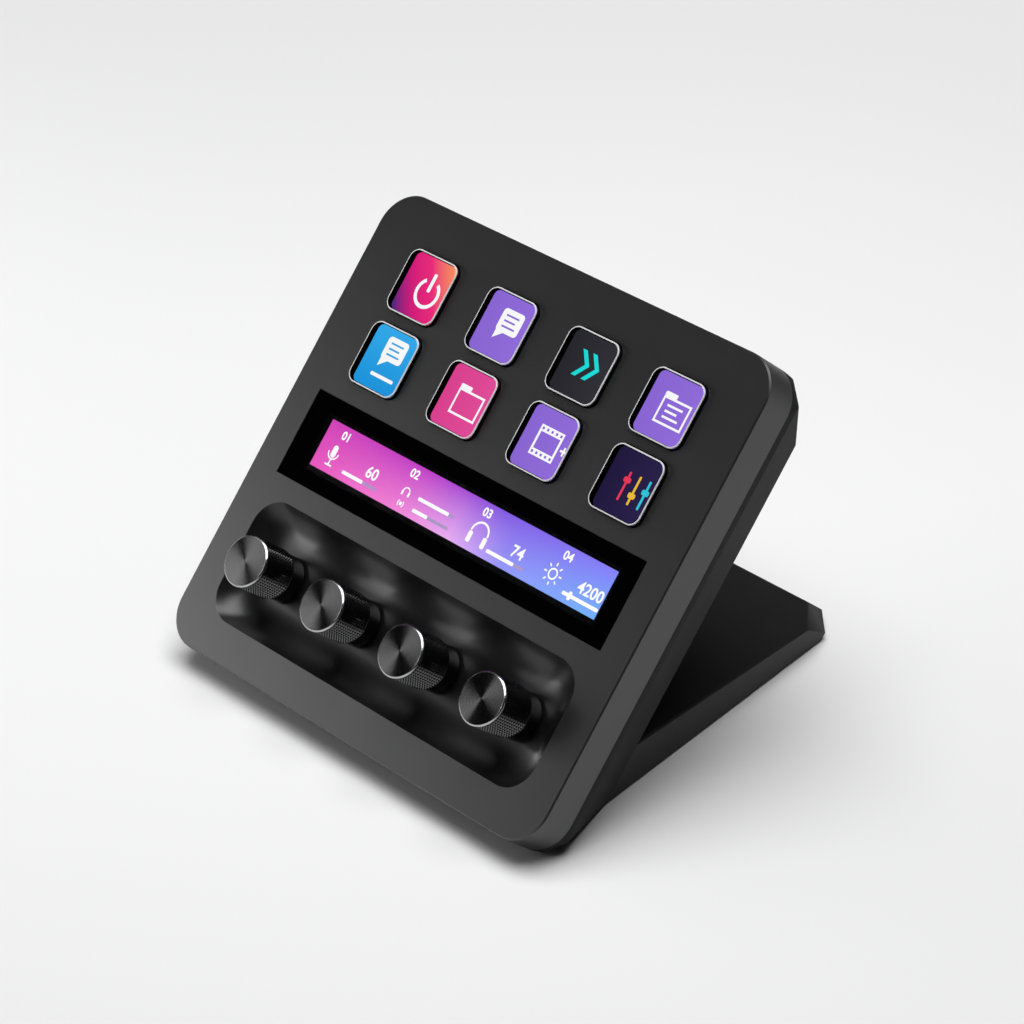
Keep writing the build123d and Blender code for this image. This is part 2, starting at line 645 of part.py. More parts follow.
# ---- assembly ---------------------------------------------------------------------------
def build_nodes():
    in_face_frame = {
        "faceplate": make_faceplate(),
        "strip_glass": make_strip_glass(),
        "strip_display": make_strip_display(),
        "key_guide": make_key_guide(),
        "key_membrane": make_key_membrane(),
        "key_display": make_key_display(),
        "display_bracket": make_display_bracket(),
        "main_board": make_main_board(),
        "board_screws": make_board_screws(),
        "foot_screws": make_foot_screws(),
        "usb_port": make_usb_port(),
        "usb_board": make_usb_board(),
    }
    for number, (across, up) in enumerate(key_places(), start=1):
        in_face_frame[f"keycap_{number}"] = Pos(across, up) * make_keycap()
        in_face_frame[f"key_skirt_{number}"] = Pos(across, up) * make_key_skirt()
    for number, (across, up) in enumerate(dial_places(), start=1):
        place = Pos(across, up)
        in_face_frame[f"encoder_body_{number}"] = place * make_encoder_body()
        in_face_frame[f"push_plunger_{number}"] = place * make_push_plunger()
        in_face_frame[f"dial_shaft_{number}"] = place * make_dial_shaft()
        in_face_frame[f"dial_sleeve_{number}"] = place * make_dial_sleeve()
        in_face_frame[f"dial_cap_{number}"] = place * make_dial_cap()
    nodes = {name: leaned(shape) for name, shape in in_face_frame.items()}
    nodes["rear_cover"] = make_rear_cover()
    nodes["front_pad"] = make_front_pad()
    nodes["foot"] = make_foot()
    nodes["base_plate"] = make_base_plate()
    nodes["base_pad"] = make_base_pad()
    return nodes


os.makedirs("parts", exist_ok=True)
for name, shape in build_nodes().items():
    export_step(shape, f"parts/{name}.step")
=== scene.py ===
"""Looks of the desk control pad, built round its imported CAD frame.

Lengths are written in millimetres and scaled by MM. Pieces on the face are drawn in the face's own
frame (x right, y up the face, z out of it, origin at its middle) and placed by FACE.
"""

import math

import bmesh
import bpy
from mathutils import Matrix, Vector


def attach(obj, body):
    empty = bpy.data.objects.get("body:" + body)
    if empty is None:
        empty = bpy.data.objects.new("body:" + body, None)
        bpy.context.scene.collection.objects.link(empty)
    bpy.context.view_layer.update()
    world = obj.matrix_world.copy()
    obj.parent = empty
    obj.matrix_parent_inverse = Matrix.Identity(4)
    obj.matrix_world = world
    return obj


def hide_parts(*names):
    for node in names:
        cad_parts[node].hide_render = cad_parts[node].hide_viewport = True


MM = 0.001

# ---- the face ---------------------------------------------------------------------------
TILT = math.radians(50.3)
FACE_CENTRE = (0, -28.35, 59.2)
KEY_COLUMNS = 4
KEY_ROWS = 2
KEY_PITCH = (29.83, 21.14)
KEY_GRID_Y = 34.34
DIAL_COUNT = 4
DIAL_PITCH = 29.83
DIAL_Y = -38.6

# ---- keys -------------------------------------------------------------------------------
KEY_SIZE = 17.67
KEY_CORNER = 3.0
KEY_TOP = 1.36
KEY_PLATE_BOTTOM = 0.86
KEY_BLOCK = 16.8
KEY_BLOCK_BOTTOM = -2.3
KEY_SEAT = 16.7
KEY_SEAT_Z = -1.55             # underside of the clear block, with the picture film on it
KEY_EDGE = 0.25
KEY_HIGHLIGHT_RIM = 0.12                 # border of the top, inside the rounded edge, painted pale with it as a highlight
BLOCK_CORNER = 1.9
KEY_SKIRT = 17.6
KEY_SKIRT_BOTTOM = -2.6
KEY_FIT = 0.03                 # gap between the clear block and its skirt
KEY_PLATE_GAP = 0.02           # gap between the skirt and the plate over it
KEY_FLANGE = 19.3
KEY_FLANGE_TOP = -2.0
PICTURE_LEFT = -8.0
PICTURE_RIGHT = 8.3
PICTURE_HEIGHT = 16.6
PICTURE_CORNER = 1.7
ICON_SCALE = 1.18
ICON_LIFT = 0.012              # step between the layers of a flat drawing

# ---- touch strip ------------------------------------------------------------------------
STRIP_Y = -2.8
STRIP_GLASS = (121.3, 24.3)
STRIP_GLASS_BOTTOM = -1.2
STRIP_MASK_LIFT = 0.02         # how far the black print lies above the glass's underside
STRIP_MASK_MARGIN = 1.4        # black print ends this far outside the lit area
STRIP_WINDOW = (106.4, 13.2)
STRIP_SHIFT = (0, 0.2)
STRIP_PICTURE_Z = -2.28
STRIP_ZONES = 4
LEVEL_LENGTH = 13.3
LEVEL_Y = -4.3
TITLE_Y = 4.0
TITLE_HEIGHT = 2.3
NUMBER_HEIGHT = 3.1
NUMBER_Y = -1.2
FONT_SIZE = 1.4                # font size for digits one unit high
DIGIT_WEIGHT = 0.09
STRIP_GLOW = 1.2               # makes up for what the cover glass takes

# ---- dials ------------------------------------------------------------------------------
DIAL_RADIUS = 7.03
DIAL_TOP = 12.0
CAP_BOTTOM = 11.2
CAP_RIM = 0.32                 # width of the polished bevel round the cap
CAP_DISH = 0.04                # the spun face lies this far below the bevel
CAP_SIDES = 96
KNURL_LOW = 0.3
KNURL_ROWS = 11
KNURL_COUNT = 56
KNURL_DEPTH = 0.35
KNURL_INSET = 0.03             # tips of the knurl lie this far inside the cap's rim
SKIRT_RADIUS = 6.4
SKIRT_BOTTOM = -4.7
SKIRT_BEVEL = 0.2
SKIRT_FLARE = (0.25, 0.05)     # between these depths below the knurl the skirt widens to its grooves

# ---- dished valley round the dials ------------------------------------------------------
VALLEY_HALF = (62, 22)
VALLEY_SHADE_START = -0.15           # from this depth on the moulded surface is smoother and painted darker as shade

# ---- materials --------------------------------------------------------------------------
NOISE_DETAIL = 3.0
NOISE_SPAN = (0.3, 0.7)        # noise lies nearly all between these
ACRYLIC_IOR = 1.49
GLOW_GRAIN = 0.015             # how far the brightness of a lit picture wanders
SPUN_GROOVES = 9.0             # grooves to the millimetre on a spun cap
WELD_GAP = 0.002               # corners of a CAD mesh closer than this are one
HARD_ANGLE = 30                # a CAD node's edges sharper than this stay hard

# ---- camera -----------------------------------------------------------------------------
CAMERA_PLACE = (645.7, -612.2, 557.4)
CAMERA_RIGHT = (0.6817, 0.7316, 0.0)
CAMERA_UP = (-0.3644, 0.3398, 0.8670)
FOCAL_PIXELS = 3987.2
PHOTO_PIXELS = 1024
SENSOR = 36.0

# ---- light and floor --------------------------------------------------------------------
LAMPS = (                      # name, place, what it is aimed at, width, height, watts
    ("overhead", (60, -60, 1400), (0, 0, 0), 1200, 1200, 24.0),
    ("front_left", (-438, -333, 151), (0, 0, 45), 360, 160, 0.68),
    ("low_left", (-540, -100, 45), (55, -55, 20), 120, 80, 0.38),
    ("low_front", (-450, -470, 50), (-30, -40, 40), 120, 80, 0.25),
)
FLOOR_HALF = 3000.0
FLOOR_LIGHT_POOL = (-80, 190)        # middle of the pool of light painted on the floor
FLOOR_LIGHT_POOL_REACH = (420, 550)  # its reach across the view and along it
FLOOR_LIGHT_POOL_CORE = 0.2          # share of that reach that keeps the palest tone
# floor colour inside the painted pool of light and, dimmer, at its edge
FLOOR_PALE = (0.90, 0.90, 0.90)
FLOOR_DIM = (0.76, 0.76, 0.765)
FLOOR_FADE = (250, 800)        # between these distances the floor turns into the backdrop
BACKDROP = 0.92                # how bright the camera sees what lies beyond the floor
SURROUND = 0.01                # how much light comes from there


def face_matrix():
    """Frame of the face: x to the right, y up the face, z out of it."""
    right = Vector((1, 0, 0))
    up = Vector((0, math.cos(TILT), math.sin(TILT)))
    out = right.cross(up)
    turn = Matrix((right, up, out)).transposed().to_4x4()
    return Matrix.Translation(Vector(FACE_CENTRE) * MM) @ turn


FACE = face_matrix()


def on_face(x, y, z=0.0):
    """Matrix that puts a piece at a place of the face, its own z out of the face."""
    return FACE @ Matrix.Translation(Vector((x, y, z)) * MM)


def spaced(count, pitch):
    """Evenly spaced places about the middle."""
    return [(index - (count - 1) / 2) * pitch for index in range(count)]


def key_places():
    """Middles of the keys, row by row from the upper left."""
    rows = reversed(spaced(KEY_ROWS, KEY_PITCH[1]))
    return [(x, KEY_GRID_Y + y) for y in rows for x in spaced(KEY_COLUMNS, KEY_PITCH[0])]


def dial_places():
    """Middles of the dials, from the left."""
    return [(x, DIAL_Y) for x in spaced(DIAL_COUNT, DIAL_PITCH)]


# ---- node material helpers --------------------------------------------------------------
def grey(value, blue=0.0):
    """Neutral colour, with a little more or less blue if asked."""
    return (value, value, value + blue)


def new_material(name):
    """Empty node material, its tree and its output node."""
    material = bpy.data.materials.new(name)
    material.use_nodes = True
    tree = material.node_tree
    tree.nodes.clear()
    output = tree.nodes.new("ShaderNodeOutputMaterial")
    return material, tree, output


def coordinates(tree):
    """Object coordinates in millimetres."""
    source = tree.nodes.new("ShaderNodeTexCoord")
    mapping = tree.nodes.new("ShaderNodeMapping")
    mapping.inputs["Scale"].default_value = (1 / MM,) * 3
    tree.links.new(source.outputs["Object"], mapping.inputs["Vector"])
    return mapping.outputs["Vector"]


def noise(tree, vector, scale):
    """Noise of 0 to 1, scale lumps to the millimetre."""
    node = tree.nodes.new("ShaderNodeTexNoise")
    node.inputs["Scale"].default_value = scale
    node.inputs["Detail"].default_value = NOISE_DETAIL
    tree.links.new(vector, node.inputs["Vector"])
    return node.outputs["Fac"]


def ramp(tree, value, stops):
    """Colour by a value, from stops of (place, colour)."""
    node = tree.nodes.new("ShaderNodeValToRGB")
    elements = node.color_ramp.elements
    while len(elements) < len(stops):
        elements.new(0.5)
    for element, (place, colour) in zip(elements, stops):
        element.position = place
        element.color = (*colour, 1.0)
    tree.links.new(value, node.inputs["Fac"])
    return node.outputs["Color"]


def spread(tree, value, low, high):
    """Noise turned into a number between low and high."""
    node = tree.nodes.new("ShaderNodeMapRange")
    node.inputs["From Min"].default_value = NOISE_SPAN[0]
    node.inputs["From Max"].default_value = NOISE_SPAN[1]
    node.inputs["To Min"].default_value = low
    node.inputs["To Max"].default_value = high
    tree.links.new(value, node.inputs["Value"])
    return node.outputs["Result"]


def blend(tree, value, first, second):
    """Noise turned into a colour between two."""
    return ramp(tree, value, [(NOISE_SPAN[0], first), (NOISE_SPAN[1], second)])


def bump(tree, value, strength, distance):
    """Normal for a relief of the given depth in millimetres."""
    node = tree.nodes.new("ShaderNodeBump")
    node.inputs["Strength"].default_value = strength
    node.inputs["Distance"].default_value = distance * MM
    tree.links.new(value, node.inputs["Height"])
    return node.outputs["Normal"]


def grained(name, dark, light, roughness, grain, depth, metallic=0.0, specular=0.5):
    """Solid stuff with a fine grain: colour, roughness and relief all come from noise."""
    material, tree, output = new_material(name)
    shader = tree.nodes.new("ShaderNodeBsdfPrincipled")
    place = coordinates(tree)
    fine = noise(tree, place, grain)
    broad = noise(tree, place, grain / 40)
    tree.links.new(blend(tree, broad, dark, light), shader.inputs["Base Color"])
    tree.links.new(spread(tree, fine, roughness - 0.03, roughness + 0.03), shader.inputs["Roughness"])
    tree.links.new(bump(tree, fine, 0.5, depth), shader.inputs["Normal"])
    shader.inputs["Metallic"].default_value = metallic
    shader.inputs["Specular IOR Level"].default_value = specular
    tree.links.new(shader.outputs["BSDF"], output.inputs["Surface"])
    return material


def math_node(tree, operation, first, *numbers):
    """One Math node: its first input is a socket, the others are plain numbers or sockets."""
    node = tree.nodes.new("ShaderNodeMath")
    node.operation = operation
    tree.links.new(first, node.inputs[0])
    for place, number in enumerate(numbers, start=1):
        if isinstance(number, (int, float)):
            node.inputs[place].default_value = number
        else:
            tree.links.new(number, node.inputs[place])
    return node.outputs["Value"]


def face_axis(tree, axis):
    """Place along one axis of the face's own frame, in millimetres."""
    source = tree.nodes.new("ShaderNodeTexCoord")
    inverse = FACE.inverted()
    dot = tree.nodes.new("ShaderNodeVectorMath")
    dot.operation = "DOT_PRODUCT"
    dot.inputs[1].default_value = tuple(inverse[axis][:3])
    tree.links.new(source.outputs["Object"], dot.inputs[0])
    return math_node(tree, "MULTIPLY_ADD", dot.outputs["Value"], 1 / MM, inverse[axis][3] / MM)


def valley_shade_and_gloss_share(tree):
    """1 on the dished valley round the dials, where the housing is smoother and painted darker as shade, 0
    on the rest.
    """
    across = math_node(tree, "COMPARE", face_axis(tree, 0), 0.0, VALLEY_HALF[0])
    along = math_node(tree, "COMPARE", face_axis(tree, 1), DIAL_Y, VALLEY_HALF[1])
    below = math_node(tree, "LESS_THAN", face_axis(tree, 2), VALLEY_SHADE_START)
    return math_node(tree, "MULTIPLY", math_node(tree, "MULTIPLY", across, along), below)


def housing_plastic(name):
    """Fine-grained satin plastic; in the dished valley smoother, and blacker by painted shade."""
    material, tree, output = new_material(name)
    place = coordinates(tree)
    fine = noise(tree, place, 4.0)
    broad = noise(tree, place, 0.1)
    relief = bump(tree, fine, 0.5, 0.002)
    mix = tree.nodes.new("ShaderNodeMixShader")
    tree.links.new(valley_shade_and_gloss_share(tree), mix.inputs["Fac"])
    satin = (grey(0.009), grey(0.011), 0.37, 0.8)
    # the valley's blacker colour is painted shade; its lower roughness and specular are its finish
    smooth = (grey(0.003), grey(0.004), 0.32, 0.55)
    for socket, (dark, light, roughness, specular) in zip((1, 2), (satin, smooth)):
        shader = tree.nodes.new("ShaderNodeBsdfPrincipled")
        tree.links.new(blend(tree, broad, dark, light), shader.inputs["Base Color"])
        tree.links.new(spread(tree, fine, roughness - 0.02, roughness + 0.02), shader.inputs["Roughness"])
        tree.links.new(relief, shader.inputs["Normal"])
        shader.inputs["Specular IOR Level"].default_value = specular
        tree.links.new(shader.outputs["BSDF"], mix.inputs[socket])
    tree.links.new(mix.outputs["Shader"], output.inputs["Surface"])
    return material


def clear_plastic(name, tint, roughness):
    """Clear moulded plastic or glass with faint wear in its gloss."""
    material, tree, output = new_material(name)
    shader = tree.nodes.new("ShaderNodeBsdfPrincipled")
    wear = noise(tree, coordinates(tree), 0.6)
    pale = tuple(channel * 0.985 for channel in tint)
    tree.links.new(blend(tree, wear, tint, pale), shader.inputs["Base Color"])
    tree.links.new(spread(tree, wear, roughness, roughness + 0.01), shader.inputs["Roughness"])
    shader.inputs["Transmission Weight"].default_value = 1.0
    shader.inputs["IOR"].default_value = ACRYLIC_IOR
    tree.links.new(shader.outputs["BSDF"], output.inputs["Surface"])
    return material


def srgb(red, green, blue):
    """Linear colour from screen values of 0 to 255."""
    def linear(value):
        share = value / 255
        return share / 12.92 if share <= 0.04045 else ((share + 0.055) / 1.055) ** 2.4
    return tuple(linear(value) for value in (red, green, blue))


def shine(tree, output, colour, strength):
    """Let a material shine in a colour, with a faint grain in its brightness."""
    emission = tree.nodes.new("ShaderNodeEmission")
    tree.links.new(colour, emission.inputs["Color"])
    grain = noise(tree, coordinates(tree), 8.0)
    low, high = strength * (1 - GLOW_GRAIN), strength * (1 + GLOW_GRAIN)
    tree.links.new(spread(tree, grain, low, high), emission.inputs["Strength"])
    tree.links.new(emission.outputs["Emission"], output.inputs["Surface"])


def glowing(name, stops, angle=0.0, span=10.0, strength=1.0):
    """Lit display area: a gradient across the piece, span millimetres long."""
    material, tree, output = new_material(name)
    source = tree.nodes.new("ShaderNodeTexCoord")
    mapping = tree.nodes.new("ShaderNodeMapping")
    mapping.vector_type = "TEXTURE"
    mapping.inputs["Rotation"].default_value = (0, 0, angle)
    mapping.inputs["Scale"].default_value = (span * MM,) * 3
    tree.links.new(source.outputs["Object"], mapping.inputs["Vector"])
    split = tree.nodes.new("ShaderNodeSeparateXYZ")
    tree.links.new(mapping.outputs["Vector"], split.inputs["Vector"])
    across = math_node(tree, "ADD", split.outputs["X"], 0.5)
    shine(tree, output, ramp(tree, across, stops), strength)
    return material


def plain_glow(name, colour, strength=1.0):
    """Lit drawing in nearly one colour."""
    dimmer = tuple(channel * 0.96 for channel in colour)
    return glowing(name, [(0.0, dimmer), (1.0, colour)], strength=strength)


def spun_metal(name, dark, light, roughness, anisotropy):
    """Turned face: fine concentric grooves round the piece's own z axis."""
    material, tree, output = new_material(name)
    shader = tree.nodes.new("ShaderNodeBsdfPrincipled")
    source = tree.nodes.new("ShaderNodeTexCoord")
    length = tree.nodes.new("ShaderNodeVectorMath")
    length.operation = "LENGTH"
    flat = tree.nodes.new("ShaderNodeVectorMath")
    flat.operation = "MULTIPLY"
    flat.inputs[1].default_value = (1 / MM, 1 / MM, 0)
    tree.links.new(source.outputs["Object"], flat.inputs[0])
    tree.links.new(flat.outputs["Vector"], length.inputs[0])
    rings = tree.nodes.new("ShaderNodeTexNoise")
    rings.noise_dimensions = "1D"
    rings.inputs["Scale"].default_value = SPUN_GROOVES
    rings.inputs["Detail"].default_value = 4.0
    tree.links.new(length.outputs["Value"], rings.inputs["W"])
    tangent = tree.nodes.new("ShaderNodeTangent")
    tangent.direction_type = "RADIAL"
    tangent.axis = "Z"
    groove = rings.outputs["Fac"]
    tree.links.new(blend(tree, groove, dark, light), shader.inputs["Base Color"])
    tree.links.new(spread(tree, groove, roughness - 0.04, roughness + 0.04), shader.inputs["Roughness"])
    tree.links.new(tangent.outputs["Tangent"], shader.inputs["Tangent"])
    shader.inputs["Metallic"].default_value = 1.0
    shader.inputs["Anisotropic"].default_value = anisotropy
    shader.inputs["Anisotropic Rotation"].default_value = 0.25     # a quarter turn, across the grooves
    tree.links.new(shader.outputs["BSDF"], output.inputs["Surface"])
    return material


def floor_material():
    """Pale studio floor with a pool of light painted on it, palest behind the pad, that runs into the pale
    backdrop far away.
    """
    material, tree, output = new_material("studio_floor")
    shader = tree.nodes.new("ShaderNodeBsdfPrincipled")
    source = tree.nodes.new("ShaderNodeTexCoord")
    mapping = tree.nodes.new("ShaderNodeMapping")
    mapping.vector_type = "TEXTURE"
    mapping.inputs["Location"].default_value = (FLOOR_LIGHT_POOL[0] * MM, FLOOR_LIGHT_POOL[1] * MM, 0)
    mapping.inputs["Rotation"].default_value = (0, 0, math.atan2(CAMERA_RIGHT[1], CAMERA_RIGHT[0]))
    mapping.inputs["Scale"].default_value = (FLOOR_LIGHT_POOL_REACH[0] * MM, FLOOR_LIGHT_POOL_REACH[1] * MM, 1.0)
    tree.links.new(source.outputs["Object"], mapping.inputs["Vector"])
    length = tree.nodes.new("ShaderNodeVectorMath")
    length.operation = "LENGTH"
    tree.links.new(mapping.outputs["Vector"], length.inputs[0])
    # painted pool of light: the floor's colour dims away from the pool's middle
    painted_pool = ramp(tree, length.outputs["Value"], [(FLOOR_LIGHT_POOL_CORE, FLOOR_PALE), (1.0, FLOOR_DIM)])
    tree.links.new(painted_pool, shader.inputs["Base Color"])
    grain = noise(tree, coordinates(tree), 0.5)
    tree.links.new(bump(tree, grain, 0.1, 0.02), shader.inputs["Normal"])
    shader.inputs["Roughness"].default_value = 0.9
    shader.inputs["Specular IOR Level"].default_value = 0.1
    away = tree.nodes.new("ShaderNodeVectorMath")
    away.operation = "LENGTH"
    tree.links.new(source.outputs["Object"], away.inputs[0])
    near, distant = [distance * MM for distance in FLOOR_FADE]
    far = ramp(tree, away.outputs["Value"], [(near, grey(0.0)), (distant, grey(1.0))])
    seen = tree.nodes.new("ShaderNodeLightPath").outputs["Is Camera Ray"]
    backdrop = tree.nodes.new("ShaderNodeEmission")
    backdrop.inputs["Strength"].default_value = BACKDROP
    mix = tree.nodes.new("ShaderNodeMixShader")
    tree.links.new(math_node(tree, "MULTIPLY", far, seen), mix.inputs["Fac"])
    tree.links.new(shader.outputs["BSDF"], mix.inputs[1])
    tree.links.new(backdrop.outputs["Emission"], mix.inputs[2])
    tree.links.new(mix.outputs["Shader"], output.inputs["Surface"])
    return material


# ---- mesh helpers -----------------------------------------------------------------------
def add_object(name, data, matrix):
    """New object in the scene, put at its place."""
    piece = bpy.data.objects.new(name, data)
    bpy.context.scene.collection.objects.link(piece)
    piece.matrix_world = matrix
    return piece


def object_from(name, bm, materials, matrix, smooth_angle=None):
    """Piece from a bmesh, its normals made to agree, smooth up to an angle if one is given."""
    mesh = bpy.data.meshes.new(name)
    bmesh.ops.recalc_face_normals(bm, faces=bm.faces)
    bm.to_mesh(mesh)
    bm.free()
    for material in materials:
        mesh.materials.append(material)
    piece = add_object(name, mesh, matrix)
    if smooth_angle is not None:
        smooth_by_angle(mesh, smooth_angle)
    return piece


def smooth_by_angle(mesh, angle):
    """Smooth shading, with edges sharper than the angle left hard."""
    mesh.polygons.foreach_set("use_smooth", [True] * len(mesh.polygons))
    mesh.set_sharp_from_angle(angle=math.radians(angle))


def rounded_outline(width, height, corner, steps=8):
    """Counter-clockwise points of a rounded rectangle."""
    points = []
    corners = [(1, 1, 0), (-1, 1, 90), (-1, -1, 180), (1, -1, 270)]
    for side_x, side_y, start in corners:
        centre_x = side_x * (width / 2 - corner)
        centre_y = side_y * (height / 2 - corner)
        for step in range(steps + 1):
            angle = math.radians(start + 90 * step / steps)
            points.append((centre_x + corner * math.cos(angle), centre_y + corner * math.sin(angle)))
    return points


def add_rings(bm, rings, closed_low=True, closed_high=True):
    """Skin a stack of outlines, given from the bottom up as (height, points)."""
    rows = [[bm.verts.new((x * MM, y * MM, z * MM)) for x, y in points] for z, points in rings]
    for low, high in zip(rows, rows[1:]):
        for index in range(len(low)):
            after = (index + 1) % len(low)
            bm.faces.new((low[index], low[after], high[after], high[index]))
    if closed_low:
        bm.faces.new(reversed(rows[0]))
    if closed_high:
        bm.faces.new(rows[-1])
    return rows


def circle(radius, count):
    """Points round a circle, counter-clockwise."""
    angles = [math.tau * index / count for index in range(count)]
    return [(radius * math.cos(angle), radius * math.sin(angle)) for angle in angles]


# ---- flat drawings ----------------------------------------------------------------------
def bar(x, y, width, height, corner=0.0, steps=5):
    """Rectangle about its centre, with rounded corners if asked."""
    if corner == 0.0:
        half_x, half_y = width / 2, height / 2
        corners = [(half_x, half_y), (-half_x, half_y), (-half_x, -half_y), (half_x, -half_y)]
        return [(x + dx, y + dy) for dx, dy in corners]
    return [(x + dx, y + dy) for dx, dy in rounded_outline(width, height, corner, steps)]


def stroke(start, end, width):
    """Straight line of one width with square ends."""
    along = (Vector(end) - Vector(start)).normalized()
    across = Vector((-along.y, along.x)) * width / 2
    corners = [Vector(start) - across, Vector(end) - across, Vector(end) + across, Vector(start) + across]
    return [tuple(corner) for corner in corners]


def band(x, y, outer, inner, start, end, steps=28):
    """Part of a ring between two angles in degrees."""
    angles = [math.radians(start + (end - start) * step / steps) for step in range(steps + 1)]
    outside = [(x + outer * math.cos(angle), y + outer * math.sin(angle)) for angle in angles]
    inside = [(x + inner * math.cos(angle), y + inner * math.sin(angle)) for angle in reversed(angles)]
    return outside + inside


def disc(x, y, radius, steps=28):
    """Filled circle about a point."""
    return [(x + dx, y + dy) for dx, dy in circle(radius, steps)]


def frame_bars(x, y, width, height, line):
    """Outline of a rectangle as four bars."""
    return [
        bar(x, y + (height - line) / 2, width, line),
        bar(x, y - (height - line) / 2, width, line),
        bar(x - (width - line) / 2, y, line, height - 2 * line),
        bar(x + (width - line) / 2, y, line, height - 2 * line),
    ]


def drawing(name, shapes, materials, matrix):
    """Flat shapes as one piece; each shape is (points, material number, layer)."""
    bm = bmesh.new()
    for points, number, layer in shapes:
        face = bm.faces.new([bm.verts.new((x * MM, y * MM, layer * ICON_LIFT * MM)) for x, y in points])
        face.material_index = number
    mesh = bpy.data.meshes.new(name)
    bm.normal_update()
    for face in bm.faces:
        if face.normal.z < 0:
            face.normal_flip()
    bm.to_mesh(mesh)
    bm.free()
    for material in materials:
        mesh.materials.append(material)
    return add_object(name, mesh, matrix)


def layered(shapes, number, layer):
    """Outlines as shapes of one material on one layer."""
    return [(points, number, layer) for points in shapes]


def placed(shapes, shift, scale):
    """The same shapes, scaled about the middle and then shifted."""
    return [([(x * scale + shift[0], y * scale + shift[1]) for x, y in points], number, layer)
            for points, number, layer in shapes]


# ---- key pictures -----------------------------------------------------------------------
def power_icon():
    """Open ring with a bar at its top."""
    return layered([band(0, -0.4, 3.6, 2.75, -235, 55), bar(0, 2.1, 0.95, 4.4, 0.3)], 1, 1)


def bubble_icon():
    """Speech bubble with three lines in it."""
    body = bar(0, 0.6, 6.4, 5.4, 0.9)
    tail = [(-2.9, -1.2), (-2.9, -3.9), (-0.4, -1.9), (-0.4, -1.2)]
    lines = [bar(-0.3 * (row % 2), 1.9 - 1.3 * row, 3.9 - 0.6 * (row % 2), 0.42) for row in range(3)]
    return layered([body, tail], 1, 1) + layered(lines, 0, 2)


def bubble_bar_icon():
    """Speech bubble over a plain bar."""
    return bubble_icon() + layered([bar(0.1, -5.9, 7.2, 0.8, 0.3)], 1, 1)


def chevron_icon():
    """Two chevrons that point to the right."""
    shapes = []
    for shift in (-2.6, 0.4):
        shapes.append([(shift - 0.9, 3.0), (shift + 0.4, 3.0), (shift + 2.8, 0.0), (shift + 1.5, 0.0)])
        shapes.append([(shift - 0.9, -3.0), (shift + 1.5, 0.0), (shift + 2.8, 0.0), (shift + 0.4, -3.0)])
    return layered(shapes, 1, 1)


def folder_bars():
    """Outline of a folder with its tab."""
    return [*frame_bars(0, -0.4, 8.0, 6.0, 0.5), bar(-2.3, 3.1, 3.4, 1.0, 0.3)]


def folder_icon():
    """Folder with its tab."""
    return layered(folder_bars(), 1, 1)


def folder_list_icon():
    """Folder with three short lines in it."""
    lines = [bar(-0.5 * (row % 2), 0.9 - 1.3 * row, 4.4 - (row % 2), 0.5) for row in range(3)]
    return layered([*folder_bars(), *lines], 1, 1)


def film_icon():
    """One frame of film with its holes, and a plus sign."""
    shapes = [bar(-0.6, 2.7, 7.0, 1.5), bar(-0.6, -2.7, 7.0, 1.5)]
    shapes += [bar(-3.8, 0, 0.6, 4.0), bar(2.6, 0, 0.6, 4.0), bar(4.5, 0, 2.0, 0.5), bar(4.5, 0, 0.5, 2.0)]
    holes = [bar(-3.3 + 1.35 * column, row, 0.6, 0.6) for column in range(5) for row in (-2.7, 2.7)]
    return layered(shapes, 1, 1) + layered(holes, 0, 2)


def slider_icon():
    """Three upright sliders in different colours."""
    shapes = []
    for number, (x, knob) in enumerate(((-2.9, 1.4), (0.0, -1.2), (2.9, 0.6)), start=1):
        shapes.append((bar(x, 0, 0.6, 6.6, 0.25), number, 1))
        shapes.append((bar(x, knob, 2.0, 1.2, 0.4), number, 2))
    return shapes


